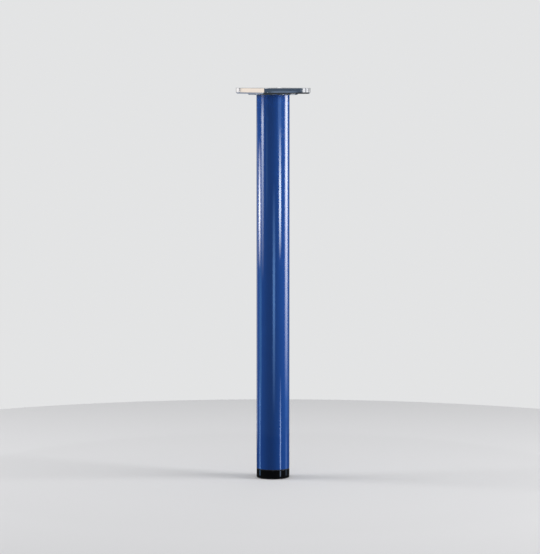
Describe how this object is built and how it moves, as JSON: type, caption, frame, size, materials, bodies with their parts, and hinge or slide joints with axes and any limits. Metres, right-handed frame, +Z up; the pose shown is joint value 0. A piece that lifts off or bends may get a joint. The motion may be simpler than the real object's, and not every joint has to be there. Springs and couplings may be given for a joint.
{
  "type": "table leg",
  "caption": "Round tubular steel table leg with a square screw-on mounting plate at the top and a screw-out levelling foot at the bottom.",
  "frame": {"origin": "centre of the sole on the floor", "axes": "+Z up along the tube, X and Y parallel to the sides of the square mounting plate, key hole for the clamp screw on +Y"},
  "size_m": [0.102, 0.102, 0.71],
  "materials": {
    "plated_casting": "bright chrome plating on die-cast zinc",
    "bare_zinc": "bare die-cast zinc, tumbled",
    "zinc_plated_steel": "bright zinc plating",
    "spring_steel": "black oxide",
    "lacquer": "high-gloss blue lacquer",
    "foot_plastic": "glossy black, moulded",
    "moulded_plastic": "black, moulded",
    "sole_rubber": "soft black, non-slip"
  },
  "bodies": {
    "glide": {"foot_glide": "moulded_plastic", "sole_pad": "sole_rubber"},
    "foot": {"foot_cup": "foot_plastic", "foot_spindle": "zinc_plated_steel", "spindle_clip": "spring_steel"},
    "leg": {"leg_tube": "lacquer", "bottom_insert": "moulded_plastic", "insert_nut": "zinc_plated_steel"},
    "head": {"mounting_plate": "plated_casting"},
    "jaw": {"clamp_jaw": "bare_zinc"},
    "screw": {"clamp_screw": "zinc_plated_steel"}
  },
  "joints": [
    {"name": "foot_turn", "type": "hinge", "parent": "glide", "child": "foot", "pos_m": [0, 0, 0.0055], "axis": [0, 0, -1], "range_deg": [0, 4800]},
    {"name": "leg_rise", "type": "slide", "parent": "glide", "child": "leg", "axis": [0, 0, 1], "range_m": [0, 0.02]},
    {"name": "plate_lift", "type": "slide", "parent": "leg", "child": "head", "axis": [0, 0, 1], "range_m": [0, 0.06]},
    {"name": "jaw_travel", "type": "slide", "parent": "head", "child": "jaw", "axis": [0, 1, 0], "range_m": [0, 0.002]},
    {"name": "screw_turn", "type": "hinge", "parent": "jaw", "child": "screw", "pos_m": [0, 0, 0.6807], "axis": [0, 1, 0], "range_deg": [0, 576]}
  ],
  "couplings": [
    {"joint": "foot_turn", "follows": "leg_rise", "rad_per_m": 4188.8},
    {"joint": "screw_turn", "follows": "jaw_travel", "rad_per_m": 5026.5}
  ]
}
